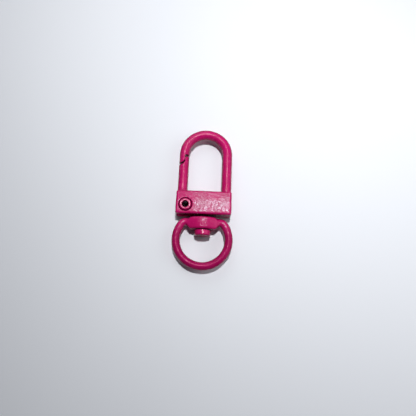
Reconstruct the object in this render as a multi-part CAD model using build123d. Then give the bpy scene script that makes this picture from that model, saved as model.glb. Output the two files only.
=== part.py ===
"""Swivel snap hook for keys: a cast bow with a sprung gate, and a ring that turns on a rivet.

Row frame, in millimetres: +Z up from the surface that the hook lies on, +Y along its length towards
the top of the bow, +X away from the gate. The origin is the bottom centre of the whole part.
"""

import os
from math import cos, radians, sin

from build123d import *

# Driving dimensions of the hook body.
BLOCK_WIDTH = 14.95
BLOCK_HEIGHT = 6.45  # along Y
BLOCK_THICKNESS = 5.0
BLOCK_EDGE_RADIUS = 0.5
BAR_RADIUS = 1.35  # round bar of the bow and of the gate
SPLIT_EDGE_RADIUS = 0.15  # on the edges where nose and gate meet
LEG_HEIGHT = 11.15  # from the block's top to the centre of the arch
LEG_INSET = 0.1  # from the block's sides to the outside of the bow

# Gate, its tubular rivet and its spring.
PIVOT_INSET = 2.6  # from the block's gate side to the rivet's axis
PIVOT_HEIGHT = 2.5  # from the block's bottom face to the rivet's axis
SLOT_WIDTH = 2.9  # between the two ears, along Z
SLOT_REACH = 2.4  # from the rivet's axis to the end of the slot
FOOT_THICKNESS = 2.7
LUG_RADIUS = 1.85
RIVET_SHANK_RADIUS = 1.1
RIVET_BORE_RADIUS = 0.85
RIVET_FLANGE_RADIUS = 1.65
RIVET_FLANGE_THICKNESS = 0.35
RIVET_CREST = 0.2  # how far the front flange stands out of the face
RIVET_ROLL = 0.4  # rounding of the front flange's outer edge
RIVET_MOUTH = 0.2  # rounding of the bore's front edge
RECESS_RADIUS = 1.85
RECESS_DEPTH = 0.35
RECESS_RIM_RADIUS = 0.12
SPRING_OUTER_RADIUS = 0.85
SPRING_WIRE_RADIUS = 0.12
SPRING_TURNS = 4.75
SPRING_RISE = 1.9  # spring's axis above the rivet's axis
SPRING_SEAT = 0.4  # face of the gate's foot beyond the rivet's axis
POCKET_RADIUS = 1.15
POCKET_DEPTH = 0.7

# Swivel: the rivet and the ring with its boss.
SWIVEL_SHANK_RADIUS = 1.15
SWIVEL_HEAD_RADIUS = 2.17
SWIVEL_HEAD_THICKNESS = 1.45
SWIVEL_TAIL_RADIUS = 1.75
SWIVEL_TAIL_DEPTH = 0.6
RING_OUTER_RADIUS = 8.15
RING_WIRE_RADIUS = 1.08
BOSS_TOP = 5.95  # above the ring's centre
BOSS_BOTTOM = 2.65
BOSS_HALF_WIDTH = 4.5
BOSS_FLAT_HALF_WIDTH = 3.35  # between the slanted corners
BOSS_THICKNESS = 4.9
BOSS_END_THICKNESS = 2.16
BOSS_EDGE_RADIUS = 0.6

# Clearances.
RUNNING_CLEARANCE = 0.07  # radial, of a shank in the hole that turns on it
BOSS_GAP = 0.55  # from the block to the boss
HEAD_GAP = 0.25  # from the boss to the swivel rivet's head
SPRING_END_GAP = 0.05

# Places that follow from the dimensions above.
ARCH_RADIUS = BLOCK_WIDTH / 2 - LEG_INSET
LENGTH = RING_OUTER_RADIUS + BOSS_TOP + BOSS_GAP + BLOCK_HEIGHT + LEG_HEIGHT + ARCH_RADIUS
MID_Z = BLOCK_THICKNESS / 2
RING_Y = RING_OUTER_RADIUS - LENGTH / 2
BLOCK_BOTTOM_Y = RING_Y + BOSS_TOP + BOSS_GAP
BLOCK_TOP_Y = BLOCK_BOTTOM_Y + BLOCK_HEIGHT
ARCH_Y = BLOCK_TOP_Y + LEG_HEIGHT
LEG_X = ARCH_RADIUS - BAR_RADIUS
PIVOT_X = PIVOT_INSET - BLOCK_WIDTH / 2
PIVOT_Y = BLOCK_BOTTOM_Y + PIVOT_HEIGHT
SLOT_END_X = PIVOT_X + SLOT_REACH
SPRING_Y = PIVOT_Y + SPRING_RISE
RING_WIRE_CENTRE = RING_OUTER_RADIUS - RING_WIRE_RADIUS

# The split between the nose of the bow and the tip of the gate, as (across, up) from the gate's
# centreline at the block's top. Across is positive towards the inside of the bow.
NOSE_LIP = ((-1.6, 8.25), (-0.85, 8.3))
NOSE_BULGE = (-0.15, 8.62)
NOSE_FLANK = ((0.2, 9.3), (0.22, 10.25))
NOSE_HOLLOW = (0.34, 10.55)
NOSE_SHOULDER = ((0.62, 10.66), (1.6, 10.6))
TIP_SHOULDER = ((-1.6, 7.58), (-0.85, 7.74))
TIP_HOLLOW = (-0.05, 8.12)
TIP_FLANK = ((0.32, 8.95), (0.36, 9.65))
TIP_CROWN = (0.52, 9.98)
TIP_END = ((0.85, 10.12), (1.6, 10.08))

AXIS_ALONG_Y = Plane(origin=(0, 0, 0), x_dir=(1, 0, 0), z_dir=(0, 1, 0))


def box(low, high):
    """A box between two opposite corners."""
    size = [b - a for a, b in zip(low, high)]
    centre = [(a + b) / 2 for a, b in zip(low, high)]
    return Pos(*centre) * Box(*size)


def rod_z(x, y, low, high, radius):
    """A cylinder along Z."""
    return extrude(Plane(origin=(x, y, low)) * Circle(radius), high - low)


def rod_x(low, high, y, z, radius):
    """A cylinder along X."""
    plane = Plane(origin=(low, y, z), x_dir=(0, 1, 0), z_dir=(1, 0, 0))
    return extrude(plane * Circle(radius), high - low)


def rod_y(x, low, high, z, radius):
    """A cylinder along Y."""
    plane = Plane(origin=(x, low, z), x_dir=(1, 0, 0), z_dir=(0, 1, 0))
    return extrude(plane * Circle(radius), high - low)


def below_split(lower, hollow, flank, crown, upper):
    """The space below one side of the split between nose and gate, through the whole thickness."""
    def place(point):
        return (point[0] - LEG_X, point[1] + BLOCK_TOP_Y)

    floor = -2.0
    edge = [
        Line(place(lower[0]), place(lower[1])),
        ThreePointArc(place(lower[1]), place(hollow), place(flank[0])),
        Line(place(flank[0]), place(flank[1])),
        ThreePointArc(place(flank[1]), place(crown), place(upper[0])),
        Line(place(upper[0]), place(upper[1])),
        Line(place(upper[1]), place((upper[1][0], floor))),
        Line(place((upper[1][0], floor)), place((lower[0][0], floor))),
        Line(place((lower[0][0], floor)), place(lower[0])),
    ]
    return extrude(make_face(edge), BLOCK_THICKNESS)


def soften_split(bar):
    """Rounds the edges that the split leaves round a bar. Those across it stay."""
    low = BLOCK_TOP_Y + TIP_SHOULDER[0][1] - 0.4
    high = BLOCK_TOP_Y + NOSE_SHOULDER[0][1] + 0.2
    edges = bar.edges().filter_by_position(Axis.Y, low, high).filter_by_position(Axis.X, -BLOCK_WIDTH, 0)
    return fillet(edges - edges.filter_by(Axis.Z), SPLIT_EDGE_RADIUS)


def bow():
    """The round bar: up one leg, over the arch and down to the nose."""
    nose_end = BLOCK_TOP_Y + NOSE_LIP[0][1] - 0.3
    path = [
        Line((LEG_X, BLOCK_TOP_Y - 1.5, MID_Z), (LEG_X, ARCH_Y, MID_Z)),
        ThreePointArc((LEG_X, ARCH_Y, MID_Z), (0, ARCH_Y + LEG_X, MID_Z), (-LEG_X, ARCH_Y, MID_Z)),
        Line((-LEG_X, ARCH_Y, MID_Z), (-LEG_X, nose_end, MID_Z)),
    ]
    start = Plane(origin=path[0] @ 0, z_dir=path[0] % 0)
    bar = sweep(start * Circle(BAR_RADIUS), path=Wire(path))
    bar -= below_split(NOSE_LIP, NOSE_BULGE, NOSE_FLANK, NOSE_HOLLOW, NOSE_SHOULDER)
    return soften_split(bar)


def hook_body():
    """The casting: block with two ears, right leg, arch and nose."""
    half = BLOCK_WIDTH / 2
    block = box((-half, BLOCK_BOTTOM_Y, 0), (half, BLOCK_TOP_Y, BLOCK_THICKNESS))
    block = fillet(block.edges(), BLOCK_EDGE_RADIUS)
    body = block + bow()
    slot_low = MID_Z - SLOT_WIDTH / 2
    slot_high = MID_Z + SLOT_WIDTH / 2
    body -= box((-half - 1, BLOCK_BOTTOM_Y - 1, slot_low), (SLOT_END_X, BLOCK_TOP_Y + 1, slot_high))
    body -= rod_x(SLOT_END_X - 0.5, SLOT_END_X + POCKET_DEPTH, SPRING_Y, MID_Z, POCKET_RADIUS)
    body -= rod_z(PIVOT_X, PIVOT_Y, 0, BLOCK_THICKNESS, RIVET_SHANK_RADIUS)
    body -= rod_z(PIVOT_X, PIVOT_Y, 0, RECESS_DEPTH, RECESS_RADIUS)
    body -= rod_z(PIVOT_X, PIVOT_Y, BLOCK_THICKNESS - RECESS_DEPTH, BLOCK_THICKNESS, RECESS_RADIUS)
    circles = body.edges().filter_by(GeomType.CIRCLE)
    back_rim = circles.filter_by_position(Axis.Z, 0, 0)
    front_rim = circles.filter_by_position(Axis.Z, BLOCK_THICKNESS, BLOCK_THICKNESS)
    body = fillet(back_rim + front_rim, RECESS_RIM_RADIUS)
    body -= rod_y(0, BLOCK_BOTTOM_Y, BLOCK_TOP_Y, MID_Z, SWIVEL_SHANK_RADIUS)
    return body - swivel_tail()


def swivel_tail():
    """The cone that the swivel rivet's tail is spread into, flush with the block's top."""
    low = BLOCK_TOP_Y - SWIVEL_TAIL_DEPTH
    profile = Polyline(
        (0, low),
        (SWIVEL_SHANK_RADIUS, low),
        (SWIVEL_TAIL_RADIUS, BLOCK_TOP_Y),
        (0, BLOCK_TOP_Y),
        close=True,
    )
    cone = revolve(make_face(profile), Axis.Y)
    return Pos(0, 0, MID_Z) * cone


def gate():
    """The gate: round bar with a stepped tip, and a flat foot that turns on the rivet."""
    tip = BLOCK_TOP_Y + TIP_END[0][1] + 0.5
    bar = rod_y(-LEG_X, BLOCK_TOP_Y - 0.9, tip, MID_Z, BAR_RADIUS)
    bar = soften_split(bar & below_split(TIP_SHOULDER, TIP_HOLLOW, TIP_FLANK, TIP_CROWN, TIP_END))
    foot_low = MID_Z - FOOT_THICKNESS / 2
    outer = 0.06 - PIVOT_INSET
    shelf = 0.6
    seat_top = 3.0
    tail = 205.0  # degrees round the lug where the foot's outer side meets it
    foot = Polyline(
        (outer, seat_top + 0.4),
        (outer, 0.5),
        (LUG_RADIUS * cos(radians(tail)), LUG_RADIUS * sin(radians(tail))),
        (0, 0),
        (LUG_RADIUS * 0.94, shelf),
        (SPRING_SEAT, shelf),
        (SPRING_SEAT, seat_top),
        (0, seat_top + 0.4),
        close=True,
    )
    plate = make_face(foot) + Circle(LUG_RADIUS)
    plate -= Pos(SPRING_SEAT + 2, shelf + 2) * Rectangle(4, 4)
    plate -= Circle(RIVET_SHANK_RADIUS + RUNNING_CLEARANCE)
    return bar + Pos(PIVOT_X, PIVOT_Y, foot_low) * extrude(plate, FOOT_THICKNESS)


def gate_rivet():
    """The tubular rivet that the gate turns on, with a rolled flange at each end."""
    top = BLOCK_THICKNESS + RIVET_CREST
    shank = rod_z(0, 0, 0, BLOCK_THICKNESS - 0.05, RIVET_SHANK_RADIUS)
    back_flange = rod_z(0, 0, 0, RIVET_FLANGE_THICKNESS, RIVET_FLANGE_RADIUS)
    front_flange = rod_z(0, 0, BLOCK_THICKNESS - RIVET_FLANGE_THICKNESS, top, RIVET_FLANGE_RADIUS)
    outer_edge = front_flange.edges().filter_by(GeomType.CIRCLE).sort_by(Axis.Z)[-1]
    front_flange = fillet(outer_edge, RIVET_ROLL)
    rivet = shank + back_flange + front_flange
    rivet -= rod_z(0, 0, -1, top + 1, RIVET_BORE_RADIUS)
    mouth = rivet.edges().filter_by(GeomType.CIRCLE).group_by(Axis.Z)[-1].sort_by(SortBy.RADIUS)[0]
    rivet = fillet(mouth, RIVET_MOUTH)
    return Pos(PIVOT_X, PIVOT_Y, 0) * rivet


def gate_spring():
    """The compression spring between the gate's foot and its pocket in the block."""
    seat_x = PIVOT_X + SPRING_SEAT
    length = SLOT_END_X + POCKET_DEPTH - seat_x - 2 * (SPRING_END_GAP + SPRING_WIRE_RADIUS)
    radius = SPRING_OUTER_RADIUS - SPRING_WIRE_RADIUS
    helix = Helix(length / SPRING_TURNS, length, radius)
    section = Plane(origin=helix @ 0, z_dir=helix % 0) * Circle(SPRING_WIRE_RADIUS)
    coil = sweep(section, path=helix, is_frenet=True)
    start_x = seat_x + SPRING_END_GAP + SPRING_WIRE_RADIUS
    return Pos(start_x, SPRING_Y, MID_Z) * Rot(0, 90, 0) * coil


def swivel_rivet():
    """The rivet that carries the ring: domed head, shank, and a tail spread in the block's top."""
    head_top = BLOCK_BOTTOM_Y - BOSS_GAP - (BOSS_TOP - BOSS_BOTTOM) - HEAD_GAP
    head = rod_y(0, head_top - SWIVEL_HEAD_THICKNESS, head_top, 0, SWIVEL_HEAD_RADIUS)
    rims = head.edges().filter_by(GeomType.CIRCLE).sort_by(Axis.Y)
    head = fillet(rims[0], 0.45)
    shank = rod_y(0, head_top - 0.1, BLOCK_TOP_Y, 0, SWIVEL_SHANK_RADIUS)
    return Pos(0, 0, MID_Z) * (head + shank) + swivel_tail()


def boss():
    """The ring's boss: six-sided from the front, lens-shaped from the end, with soft edges."""
    shoulder = BOSS_TOP - 0.12
    side_high = BOSS_TOP - 1.1
    side_low = BOSS_BOTTOM + 1.15
    outline = [
        ThreePointArc((-BOSS_FLAT_HALF_WIDTH, shoulder), (0, BOSS_TOP), (BOSS_FLAT_HALF_WIDTH, shoulder)),
        Polyline(
            (BOSS_FLAT_HALF_WIDTH, shoulder),
            (BOSS_HALF_WIDTH, side_high),
            (BOSS_HALF_WIDTH, side_low),
            (BOSS_FLAT_HALF_WIDTH, BOSS_BOTTOM),
            (-BOSS_FLAT_HALF_WIDTH, BOSS_BOTTOM),
            (-BOSS_HALF_WIDTH, side_low),
            (-BOSS_HALF_WIDTH, side_high),
            (-BOSS_FLAT_HALF_WIDTH, shoulder),
        ),
    ]
    front = make_face(outline)
    front = fillet(front.vertices(), 0.7)
    half = BOSS_THICKNESS / 2
    end = BOSS_END_THICKNESS / 2
    lens = [
        ThreePointArc((-BOSS_HALF_WIDTH, end), (0, half), (BOSS_HALF_WIDTH, end)),
        Line((BOSS_HALF_WIDTH, end), (BOSS_HALF_WIDTH, -end)),
        ThreePointArc((BOSS_HALF_WIDTH, -end), (0, -half), (-BOSS_HALF_WIDTH, -end)),
        Line((-BOSS_HALF_WIDTH, -end), (-BOSS_HALF_WIDTH, end)),
    ]
    from_front = extrude(Pos(0, 0, -half) * front, BOSS_THICKNESS)
    from_end = extrude(AXIS_ALONG_Y * make_face(lens), BOSS_TOP + 1)
    solid = from_front & from_end
    rims = [edge for edge in solid.edges() if abs(edge.center().Z) > end * 0.99]
    return fillet(rims, BOSS_EDGE_RADIUS)


def ring_wire():
    """The round wire: from inside the boss, out over a tight bend and round the circle."""
    leave = radians(54)  # from the ring's top, where the wire leaves the circle for the boss
    bend = 1.4
    on_circle = (RING_WIRE_CENTRE * sin(leave), RING_WIRE_CENTRE * cos(leave))
    centre = (on_circle[0] - bend * sin(leave), on_circle[1] - bend * cos(leave))
    level = (centre[0], centre[1] + bend)
    middle = (centre[0] + bend * sin(leave / 2), centre[1] + bend * cos(leave / 2))
    inside = (level[0] - 1.2, level[1])

    def mirrored(point):
        return (-point[0], point[1])

    path = [
        Line(inside, level),
        ThreePointArc(level, middle, on_circle),
        ThreePointArc(on_circle, (0, -RING_WIRE_CENTRE), mirrored(on_circle)),
        ThreePointArc(mirrored(on_circle), mirrored(middle), mirrored(level)),
        Line(mirrored(level), mirrored(inside)),
    ]
    start = Plane(origin=path[0] @ 0, z_dir=path[0] % 0)
    return sweep(start * Circle(RING_WIRE_RADIUS), path=Wire(path))


def swivel_ring():
    """The ring and its boss, one piece."""
    ring = ring_wire() + boss()
    ring -= rod_y(0, BOSS_BOTTOM - 1, BOSS_TOP + 1, 0, SWIVEL_SHANK_RADIUS + RUNNING_CLEARANCE)
    return Pos(0, RING_Y, MID_Z) * ring


NODES = {
    "hook_body": hook_body,
    "gate": gate,
    "gate_rivet": gate_rivet,
    "gate_spring": gate_spring,
    "swivel_rivet": swivel_rivet,
    "swivel_ring": swivel_ring,
}

os.makedirs("parts", exist_ok=True)
for name, make in NODES.items():
    export_step(make(), f"parts/{name}.step")

print("length", round(LENGTH, 3), "pivot", round(PIVOT_X, 3), round(PIVOT_Y, 3))
print("ring centre y", round(RING_Y, 3), "block y", round(BLOCK_BOTTOM_Y, 3), round(BLOCK_TOP_Y, 3))
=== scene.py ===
"""Looks of the swivel snap hook: thick magenta enamel over a small zinc casting, on a pale surface."""

import math

import bmesh
import bpy
import numpy as np
from mathutils import Matrix, Vector


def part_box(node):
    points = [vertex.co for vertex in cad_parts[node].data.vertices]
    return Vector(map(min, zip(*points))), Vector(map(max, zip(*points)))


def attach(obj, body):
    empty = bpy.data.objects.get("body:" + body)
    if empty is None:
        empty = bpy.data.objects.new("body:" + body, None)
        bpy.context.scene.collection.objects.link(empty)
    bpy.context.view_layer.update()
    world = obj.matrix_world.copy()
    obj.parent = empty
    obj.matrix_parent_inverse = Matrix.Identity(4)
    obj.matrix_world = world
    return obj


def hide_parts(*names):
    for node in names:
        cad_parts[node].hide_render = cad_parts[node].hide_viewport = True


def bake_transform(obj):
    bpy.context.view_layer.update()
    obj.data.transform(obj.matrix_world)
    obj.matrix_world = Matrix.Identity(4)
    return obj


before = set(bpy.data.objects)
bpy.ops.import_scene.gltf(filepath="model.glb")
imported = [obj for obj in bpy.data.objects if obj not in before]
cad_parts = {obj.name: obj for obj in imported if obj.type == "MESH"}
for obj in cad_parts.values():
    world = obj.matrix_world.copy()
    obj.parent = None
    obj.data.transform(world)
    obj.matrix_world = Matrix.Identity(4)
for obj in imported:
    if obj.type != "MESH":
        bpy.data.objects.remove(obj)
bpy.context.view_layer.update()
MM = 0.001

BLOCK_HEIGHT = 6.45  # mm, the hook's block along Y
PAINT_SHADES = [
    (0.30, (0.470, 0.0045, 0.110, 1)),
    (0.50, (0.530, 0.0065, 0.130, 1)),
    (0.72, (0.590, 0.0100, 0.155, 1)),
]
GRAIN_SHADES = [
    (0.30, (0.80, 0.80, 0.80, 1)),
    (0.46, (1.00, 1.00, 1.00, 1)),
    (0.80, (1.06, 1.06, 1.06, 1)),
]
# Painted shade: darker colour at edges seen at a glancing angle
GLANCING_PAINTED_SHADE = (0.20, 0.0005, 0.028, 1)
# Painted shade for the ring, darkest away from its boss
SHADED_PAINT = (0.010, 0.0, 0.004, 1)
# Painted shade: near black, laid into narrow gaps and under parts
GAP_PAINTED_SHADE = (0.012, 0.002, 0.005, 1)
# Painted shade: near black inside the gate rivet's bore
BORE_PAINTED_SHADE = (0.012, 0.009, 0.010, 1)
# Painted shade: near black on the pin's shank in the gap under the block
SHANK_PAINTED_SHADE = (0.006, 0.004, 0.005, 1)
# Painted sheen: the reflection's colour differs by region, bluish white on the block, pink on the bow and
# ring
BLOCK_PAINTED_SHEEN = (0.60, 0.95, 1.0, 1)
BOW_PAINTED_SHEEN = (1.0, 0.85, 0.92, 1)
RING_PAINTED_SHEEN = (1.0, 0.36, 0.55, 1)
PEEL_DEPTH = 0.000044  # m, fine bumps of orange peel in the shader
SWELL_DEPTH = 0.00005  # m, broader bumps in the shader
GAP_REACH = 0.0015  # m, how near a neighbouring surface has to be for painted shade to gather in a gap
UNEVEN_SPACING = 5.0  # mm between broad rises in a casting's skin
PEEL_SPACING = 0.55  # mm between bumps of orange peel in the mesh
SEAM_REACH = 0.11  # mm from the parting seam's middle to where it has mostly died away
SAG_EDGE = 0.6  # mm of height over which a sag sets in


# ---------------------------------------------------------------- mesh helpers

def field(points, wavelength, seed, waves=36):
    """A smooth random field, about -2 to 2, whose bumps are about one wavelength apart."""
    rng = np.random.default_rng(seed)
    way = rng.normal(size=(waves, 3))
    way /= np.linalg.norm(way, axis=1)[:, None]
    size = 2 * math.pi / (wavelength * rng.uniform(0.75, 1.35, waves))
    phase = rng.uniform(0, 2 * math.pi, waves)
    return np.cos(points @ (way * size[:, None]).T + phase).sum(axis=1) / math.sqrt(waves / 2)


def voxel_mesh(name, node, voxel):
    """A new mesh object, in mm, made of even voxels over a CAD node's shape."""
    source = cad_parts[node]
    mesh = source.data.copy()
    mesh.name = name
    mesh.transform(Matrix.Scale(1000, 4) @ source.matrix_world)
    mesh.materials.clear()
    rough = bpy.data.objects.new(name, mesh)
    bpy.context.collection.objects.link(rough)
    remesh = rough.modifiers.new("even", "REMESH")
    remesh.mode = "VOXEL"
    remesh.voxel_size = voxel
    bpy.context.view_layer.update()
    made = rough.evaluated_get(bpy.context.evaluated_depsgraph_get())
    even = bpy.data.meshes.new_from_object(made)
    even.name = name
    bpy.data.objects.remove(rough)
    bpy.data.meshes.remove(mesh)
    return even


def points_of(mesh):
    out = np.empty(len(mesh.vertices) * 3)
    mesh.vertices.foreach_get("co", out)
    return out.reshape(-1, 3)


def set_points(mesh, points):
    mesh.vertices.foreach_set("co", points.ravel())
    mesh.update()


def normals_of(mesh):
    out = np.empty(len(mesh.vertices) * 3)
    mesh.vertex_normals.foreach_get("vector", out)
    return out.reshape(-1, 3)


def towards_neighbours(points, edges):
    """From each point to the middle of its neighbours."""
    count = np.bincount(edges.ravel(), minlength=len(points)).astype(float)[:, None]
    total = np.zeros_like(points)
    for axis in range(3):
        total[:, axis] = np.bincount(edges[:, 0], points[edges[:, 1], axis], len(points))
        total[:, axis] += np.bincount(edges[:, 1], points[edges[:, 0], axis], len(points))
    return total / count - points


def softened(points, edges, rounds, shrink=0.55, grow=-0.57):
    """Taubin smoothing: rounds off edges as thick paint does, and keeps the size."""
    for step in range(rounds * 2):
        points = points + towards_neighbours(points, edges) * (shrink if step % 2 == 0 else grow)
    return points


def merged(points, edges, centre, radius, rounds):
    """Plain smoothing round a place, where one form of a casting runs into another."""
    for step in range(rounds):
        away = np.linalg.norm(points - np.array(centre), axis=1) / radius
        share = np.exp(-away ** 4)[:, None]
        points = points + towards_neighbours(points, edges) * share * 0.5
    return points


def edges_of(mesh):
    out = np.empty(len(mesh.edges) * 2, dtype=np.int64)
    mesh.edges.foreach_get("vertices", out)
    return out.reshape(-1, 2)


def cast_piece(
    name, node, body, voxel, rounds, seed, peel=0.002, uneven=0.018, dents=(), seam=0.0, sags=(), merges=()
):
    """A CAD node remade as an enamelled casting: soft edges, uneven skin, dents and a parting seam.

    Measures are in mm. A dent is a centre, a radius and a depth. A sag is an axis, a place along it,
    a width, a depth, and the height above which the face sinks. A merge is a centre, a radius and
    how many rounds of smoothing it gets.
    """
    mesh = voxel_mesh(name, node, voxel)
    low, high = (np.array(corner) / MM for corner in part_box(node))
    edges = edges_of(mesh)
    points = softened(points_of(mesh), edges, rounds)
    for place in merges:
        points = merged(points, edges, *place)
    for axis, place, width, depth, floor in sags:
        near = np.exp(-((points[:, axis] - place) / width) ** 2)
        points[:, 2] -= depth * near * np.clip((points[:, 2] - floor) / SAG_EDGE, 0, 1)
    set_points(mesh, points)
    normals = normals_of(mesh)
    move = uneven * (field(points, UNEVEN_SPACING, seed) - 0.6) / 2
    move += peel * (field(points, PEEL_SPACING, seed + 1) - 0.6) / 2
    if seam:
        side = np.clip(1 - np.abs(normals[:, 2]) * 1.6, 0, 1)
        height = (points[:, 2] - (low[2] + high[2]) / 2) / SEAM_REACH
        move += seam * side * np.exp(-height ** 2)
    for centre, radius, depth in dents:
        away = np.linalg.norm(points - np.array(centre), axis=1) / radius
        move -= depth * np.exp(-away ** 2)
    points = np.clip(points + normals * move[:, None], low, high)
    set_points(mesh, points * MM)
    mesh.polygons.foreach_set("use_smooth", [True] * len(mesh.polygons))
    piece = bpy.data.objects.new(name, mesh)
    bpy.context.collection.objects.link(piece)
    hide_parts(node)
    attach(piece, body)
    return piece


# ---------------------------------------------------------------- materials

def new_material(name):
    material = bpy.data.materials.new(name)
    material.use_nodes = True
    tree = material.node_tree
    shader = tree.nodes["Principled BSDF"]
    return material, tree, shader


def add(tree, kind, **settings):
    node = tree.nodes.new(kind)
    for key, value in settings.items():
        setattr(node, key, value)
    return node


def noise(tree, place, scale, detail=2.0, rough=0.5, distortion=0.0):
    node = add(tree, "ShaderNodeTexNoise")
    node.inputs["Scale"].default_value = scale
    node.inputs["Detail"].default_value = detail
    node.inputs["Roughness"].default_value = rough
    node.inputs["Distortion"].default_value = distortion
    tree.links.new(place, node.inputs["Vector"])
    return node.outputs["Fac"]


def ramp(tree, value, stops):
    node = add(tree, "ShaderNodeValToRGB")
    node.color_ramp.elements[0].position = stops[0][0]
    node.color_ramp.elements[0].color = stops[0][1]
    node.color_ramp.elements[1].position = stops[-1][0]
    node.color_ramp.elements[1].color = stops[-1][1]
    for position, colour in stops[1:-1]:
        node.color_ramp.elements.new(position).color = colour
    tree.links.new(value, node.inputs["Fac"])
    return node.outputs["Color"]


def remap(tree, value, low, high, to_low, to_high):
    node = add(tree, "ShaderNodeMapRange")
    node.inputs["From Min"].default_value = low
    node.inputs["From Max"].default_value = high
    node.inputs["To Min"].default_value = to_low
    node.inputs["To Max"].default_value = to_high
    tree.links.new(value, node.inputs["Value"])
    return node.outputs["Result"]


def math_node(tree, operation, *values):
    node = add(tree, "ShaderNodeMath", operation=operation)
    for slot, value in zip(node.inputs, values):
        if isinstance(value, (int, float)):
            slot.default_value = value
        else:
            tree.links.new(value, slot)
    return node.outputs["Value"]


def bump(tree, height, distance, strength=1.0, normal=None):
    node = add(tree, "ShaderNodeBump")
    node.inputs["Strength"].default_value = strength
    node.inputs["Distance"].default_value = distance
    tree.links.new(height, node.inputs["Height"])
    if normal is not None:
        tree.links.new(normal, node.inputs["Normal"])
    return node.outputs["Normal"]


def along_axes(tree, place):
    node = add(tree, "ShaderNodeSeparateXYZ")
    tree.links.new(place, node.inputs[0])
    return node.outputs


def mix_colour(tree, share, first, second, blend="MIX"):
    node = add(tree, "ShaderNodeMix", data_type="RGBA", blend_type=blend)
    for slot, value in ((node.inputs[0], share), (node.inputs[6], first), (node.inputs[7], second)):
        if isinstance(value, (int, float, tuple)):
            slot.default_value = value
        else:
            tree.links.new(value, slot)
    return node.outputs[2]


def round_bore(tree, place, axis, radius):
    """1 inside a radius of an axis along Z, and 0 outside it. Both are in metres."""
    x, y, _ = along_axes(tree, place)
    across = math_node(tree, "POWER", math_node(tree, "SUBTRACT", x, axis[0]), 2.0)
    along = math_node(tree, "POWER", math_node(tree, "SUBTRACT", y, axis[1]), 2.0)
    away = math_node(tree, "SQRT", math_node(tree, "ADD", across, along))
    return remap(tree, away, radius, radius * 0.92, 0.0, 1.0)


def band(tree, place, low, high, edge=0.1):
    """1 between two places in mm along Y, and 0 outside them."""
    y = along_axes(tree, place)[1]
    after = remap(tree, y, (low - edge) * MM, (low + edge) * MM, 0.0, 1.0)
    before = remap(tree, y, (high - edge) * MM, (high + edge) * MM, 1.0, 0.0)
    return math_node(tree, "MULTIPLY", after, before)


def enamel(name, gloss=0.35, rough=(0.22, 0.30), bore=None, shank_shade_y=None, fade=None):
    """Thick glossy magenta enamel with orange peel.

    Narrow gaps and edges seen at a glancing angle get painted shade. bore is an axis along Z and a
    radius, inside which the colour is a near-black painted shade. shank_shade_y is two places in mm
    along Y, with a near-black painted shade between them, on the pin's shank in the gap. fade is two
    places in mm along Y, then what the paint is at the first of them: how much painted shade darkens
    it, its gloss and its painted sheen colour. At the second place it has the usual gloss and the
    block's painted sheen.
    """
    material, tree, shader = new_material(name)
    place = add(tree, "ShaderNodeTexCoord").outputs["Object"]
    colour = ramp(tree, noise(tree, place, 260, 3.0, 0.55), PAINT_SHADES)
    grain = ramp(tree, noise(tree, place, 5200, 2.0, 0.6), GRAIN_SHADES)
    colour = mix_colour(tree, 0.8, colour, grain, "MULTIPLY")
    roughness = remap(tree, noise(tree, place, 900, 3.0, 0.6), 0.3, 0.7, *rough)
    # Painted shade: near black inside the rivet's bore
    if bore is not None:
        colour = mix_colour(tree, round_bore(tree, place, *bore), colour, BORE_PAINTED_SHADE)
    # Painted shade: a near-black band on the pin's shank, where it sits in the gap
    if shank_shade_y is not None:
        shank_shade = band(tree, place, *shank_shade_y)
        colour = mix_colour(tree, shank_shade, colour, SHANK_PAINTED_SHADE)
        roughness = math_node(tree, "MAXIMUM", roughness, shank_shade)
    if fade is None:
        shader.inputs["Specular IOR Level"].default_value = gloss
    else:
        # Painted shade: the colour darkens towards the first place by fade_shade
        first, second, fade_shade, first_gloss, first_painted_sheen = fade
        y = along_axes(tree, place)[1]
        share = remap(tree, y, first * MM, second * MM, 1.0, 0.0)
        colour = mix_colour(tree, math_node(tree, "MULTIPLY", share, fade_shade), colour, SHADED_PAINT)
        shine = remap(tree, y, first * MM, second * MM, first_gloss, gloss)
        pitted = remap(tree, noise(tree, place, 4300, 1.0, 0.5), 0.38, 0.62, 0.35, 1.45)
        shine = math_node(tree, "MULTIPLY", shine, pitted)
        # Painted sheen: the reflection's colour changes from the region's tint to the block's
        painted_sheen = mix_colour(tree, share, BLOCK_PAINTED_SHEEN, first_painted_sheen)
        tree.links.new(shine, shader.inputs["Specular IOR Level"])
        tree.links.new(painted_sheen, shader.inputs["Specular Tint"])
    # Painted shade: the colour goes near black where another surface is near, in gaps and under parts
    openness = add(tree, "ShaderNodeAmbientOcclusion", samples=8)
    openness.inputs["Distance"].default_value = GAP_REACH
    gap_shade = remap(tree, openness.outputs["AO"], 0.70, 0.42, 0.0, 0.95)
    colour = mix_colour(tree, gap_shade, colour, GAP_PAINTED_SHADE)
    # Painted shade: the colour darkens at edges seen at a glancing angle
    facing = add(tree, "ShaderNodeLayerWeight")
    facing.inputs["Blend"].default_value = 0.5
    glancing_shade = remap(tree, facing.outputs["Facing"], 0.15, 0.80, 0.0, 0.75)
    colour = mix_colour(tree, glancing_shade, colour, GLANCING_PAINTED_SHADE)
    tree.links.new(colour, shader.inputs["Base Color"])
    tree.links.new(roughness, shader.inputs["Roughness"])
    normal = bump(tree, noise(tree, place, 3500, 1.0, 0.5, 0.3), PEEL_DEPTH)
    normal = bump(tree, noise(tree, place, 1100, 1.0, 0.5), SWELL_DEPTH, 1.0, normal)
    tree.links.new(normal, shader.inputs["Normal"])
    return material


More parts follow.
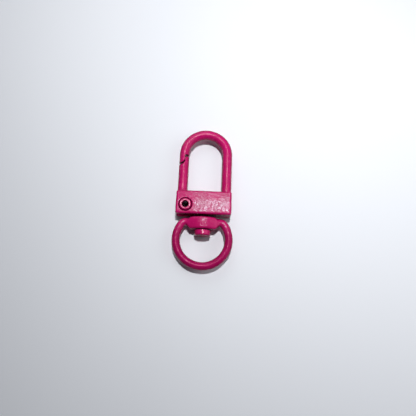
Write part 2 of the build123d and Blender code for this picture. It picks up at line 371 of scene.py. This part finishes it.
def spring_wire():
    """Drawn steel wire: a fine bumpy surface and a little tarnish."""
    material, tree, shader = new_material("spring_wire")
    place = add(tree, "ShaderNodeTexCoord").outputs["Object"]
    tarnish = noise(tree, place, 2400, 3.0, 0.6)
    colour = ramp(tree, tarnish, [(0.3, (0.30, 0.28, 0.26, 1)), (0.7, (0.56, 0.55, 0.54, 1))])
    tree.links.new(colour, shader.inputs["Base Color"])
    tree.links.new(remap(tree, tarnish, 0.3, 0.7, 0.24, 0.42), shader.inputs["Roughness"])
    normal = bump(tree, noise(tree, place, 9000, 1.0, 0.5), 0.00001, 0.5)
    tree.links.new(normal, shader.inputs["Normal"])
    shader.inputs["Metallic"].default_value = 1.0
    return material


# ---------------------------------------------------------------- pieces

rivet_low, rivet_high = (np.array(corner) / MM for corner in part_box("gate_rivet"))
pivot = (rivet_low + rivet_high) / 2
hook_low, hook_high = (np.array(corner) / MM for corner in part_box("hook_body"))
ring_low, ring_high = (np.array(corner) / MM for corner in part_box("swivel_ring"))
ring_y = (ring_low[1] + ring_high[1]) / 2
face_z = hook_high[2]
block_top = hook_low[1] + BLOCK_HEIGHT

hook_dents = [
    ((pivot[0] + 1.25, pivot[1] + 1.65, face_z), 0.20, 0.10),
    ((pivot[0] + 6.4, pivot[1] - 0.6, face_z), 0.35, 0.03),
    ((pivot[0] + 3.6, pivot[1] + 2.2, face_z), 0.30, 0.025),
    ((pivot[0] + 9.6, pivot[1] + 1.6, face_z), 0.40, 0.025),
    ((hook_high[0], hook_low[1] + 14.0, face_z / 2 + 0.9), 0.35, 0.05),
    ((hook_high[0] - 3.2, hook_low[1] + 22.3, face_z / 2 + 1.2), 0.30, 0.03),
    ((3.0, hook_low[1] + 4.0, 0.0), 0.40, 0.05),
]
face_sags = [
    (0, hook_low[0], 2.6, 0.20, 4.0),
    (1, block_top, 2.0, 0.20, 4.0),
    (1, hook_low[1], 0.8, 0.06, 4.0),
]
boss_middle, boss_foot = hook_low[1] - 1.9, hook_low[1] - 3.85
ring_sags = [(1, boss_foot, 2.0, 0.26, 3.6)]
boss_ends = [((side * 4.5, boss_middle, 2.5), 1.9, 70) for side in (-1, 1)]

# Painted sheen: pink reflection colour on the bow
bow_fade = (block_top + 1.2, block_top + 0.2, 0.0, 0.28, BOW_PAINTED_SHEEN)
# Painted shade: the ring darkens away from its boss, and the boss keeps the body's colour
ring_fade = (ring_y + 2.0, ring_y + 5.5, 0.34, 0.26, RING_PAINTED_SHEEN)
# Painted shade: the band of the pin's shank that sits in the gap between boss and block
pin_shank_shade = (ring_high[1] - 0.4, ring_high[1] + 2.0)
rivet_bore = ((pivot[0] * MM, pivot[1] * MM), 0.00096)
paint = enamel("magenta_enamel", fade=bow_fade)
ring_paint = enamel("magenta_enamel_shaded_ring", fade=ring_fade)
pin_paint = enamel("magenta_enamel_pin", rough=(0.16, 0.24), shank_shade_y=pin_shank_shade)
rivet_paint = enamel("magenta_enamel_hollow", gloss=0.36, bore=rivet_bore)

hook = cast_piece(
    "hook_casting", "hook_body", "hook", voxel=0.11, rounds=7, seed=11,
    dents=hook_dents, seam=0.02, sags=face_sags,
)
gate = cast_piece(
    "gate_casting", "gate", "gate", voxel=0.08, rounds=4, seed=23,
    uneven=0.012, seam=0.015,
)
ring = cast_piece(
    "ring_casting", "swivel_ring", "ring", voxel=0.10, rounds=6, seed=37,
    seam=0.02, sags=ring_sags, merges=boss_ends,
)
pin = cast_piece(
    "swivel_pin", "swivel_rivet", "hook", voxel=0.07, rounds=4, seed=41,
    uneven=0.008,
)
rivet = cast_piece(
    "hollow_rivet", "gate_rivet", "hook", voxel=0.05, rounds=3, seed=53,
    peel=0.004, uneven=0.006,
)
painted = [(hook, paint), (gate, paint), (ring, ring_paint), (pin, pin_paint), (rivet, rivet_paint)]
for piece, coat in painted:
    piece.data.materials.append(coat)


def coil_spring(name):
    """The gate's spring: a round wire coil along X with its end turns closed up, as a mesh tube."""
    low, high = (np.array(corner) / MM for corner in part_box("gate_spring"))
    wire = 0.12
    centre = (low + high) / 2
    radius = (high[1] - low[1]) / 2 - wire
    turns, steps, sides = 5.4, 300, 14
    end_turns, end_pitch = 0.75, 0.35
    t = np.linspace(0, 1, steps)
    closed = end_turns / turns
    first_turns = t * end_pitch
    open_turns = closed * end_pitch + (t - closed) / (1 - 2 * closed) * (1 - 2 * closed * end_pitch)
    last_turns = 1 - (1 - t) * end_pitch
    rise = np.where(t < closed, first_turns, np.where(t > 1 - closed, last_turns, open_turns))
    x = low[0] + wire + rise * (high[0] - low[0] - 2 * wire)
    angle = t * turns * 2 * math.pi
    line = np.c_[x, centre[1] + radius * np.cos(angle), centre[2] + radius * np.sin(angle)]
    along = np.gradient(line, axis=0)
    along /= np.linalg.norm(along, axis=1)[:, None]
    out = np.c_[np.zeros(steps), np.cos(angle), np.sin(angle)]
    out -= (out * along).sum(axis=1)[:, None] * along
    out /= np.linalg.norm(out, axis=1)[:, None]
    across = np.cross(along, out)
    mesh = bmesh.new()
    rings = []
    for i in range(steps):
        ends = min(i, steps - 1 - i)
        size = wire * (0.72 if ends == 0 else 0.93 if ends == 1 else 1.0)
        rings.append([
            mesh.verts.new((line[i] + size * (math.cos(a) * out[i] + math.sin(a) * across[i])) * MM)
            for a in np.linspace(0, 2 * math.pi, sides, endpoint=False)
        ])
    for first, second in zip(rings, rings[1:]):
        for k in range(sides):
            mesh.faces.new((first[k], first[(k + 1) % sides], second[(k + 1) % sides], second[k]))
    mesh.faces.new(list(reversed(rings[0])))
    mesh.faces.new(rings[-1])
    bmesh.ops.recalc_face_normals(mesh, faces=mesh.faces)
    for face in mesh.faces:
        face.smooth = len(face.verts) == 4
    data = bpy.data.meshes.new(name)
    mesh.to_mesh(data)
    mesh.free()
    piece = bpy.data.objects.new(name, data)
    bpy.context.collection.objects.link(piece)
    return piece, low, high


spring, spring_low, spring_high = coil_spring("gate_coil")
spring.data.materials.append(spring_wire())
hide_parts("gate_spring")
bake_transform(spring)


# ---------------------------------------------------------------- floor, light and camera

def floor():
    material, tree, shader = new_material("pale_board")
    place = add(tree, "ShaderNodeTexCoord").outputs["Object"]
    cloud = noise(tree, place, 9, 2.0, 0.5)
    tree.links.new(
        ramp(tree, cloud, [(0.3, (0.800, 0.825, 0.880, 1)), (0.7, (0.825, 0.850, 0.905, 1))]),
        shader.inputs["Base Color"],
    )
    shader.inputs["Roughness"].default_value = 0.6
    mesh = bmesh.new()
    bmesh.ops.create_grid(mesh, x_segments=8, y_segments=8, size=0.6)
    data = bpy.data.meshes.new("board")
    mesh.to_mesh(data)
    mesh.free()
    data.materials.append(material)
    board = bpy.data.objects.new("board", data)
    board.location = (0, 0, -0.00002)
    bpy.context.collection.objects.link(board)


def area_light(name, direction, distance, size, power, aim=(0, 0, 0), spread=180):
    """A round lamp, in metres and watts, pointed at a place, with its beam's width in degrees."""
    light = bpy.data.lights.new(name, "AREA")
    light.shape = "DISK"
    light.size = size
    light.energy = power
    light.spread = math.radians(spread)
    lamp = bpy.data.objects.new(name, light)
    lamp.location = Vector(direction).normalized() * distance
    lamp.rotation_euler = (lamp.location - Vector(aim)).to_track_quat("Z", "Y").to_euler()
    bpy.context.collection.objects.link(lamp)


floor()
area_light("key", (0.055, 0.235, 1.0), 0.300, 0.022, 0.145, aim=(0.04, 0.04, 0), spread=80)
area_light("soft_top", (-0.35, 1.0, 0.80), 0.200, 0.16, 0.095)
area_light("soft_right", (1.0, 0.05, 0.80), 0.200, 0.16, 0.095)
world = bpy.data.worlds.new("studio")
world.use_nodes = True
world.node_tree.nodes["Background"].inputs["Color"].default_value = (0.80, 0.88, 1.0, 1)
world.node_tree.nodes["Background"].inputs["Strength"].default_value = 0.04
scene = bpy.context.scene
scene.world = world
scene.view_settings.view_transform = "Standard"

camera = bpy.data.cameras.new("camera")
camera.sensor_fit = "HORIZONTAL"
camera.angle = math.radians(60.0)
camera.clip_start = 0.005
camera.clip_end = 5.0
eye = bpy.data.objects.new("camera", camera)
bpy.context.collection.objects.link(eye)
turn, rise = math.radians(2.4), math.radians(76.0)
back = Vector((math.sin(turn) * math.cos(rise), -math.cos(turn) * math.cos(rise), math.sin(rise)))
target = Vector((1.2, -2.95, 2.5)) * MM
eye.location = target + back * 98 * MM
eye.rotation_euler = back.to_track_quat("Z", "Y").to_euler()
scene.camera = eye
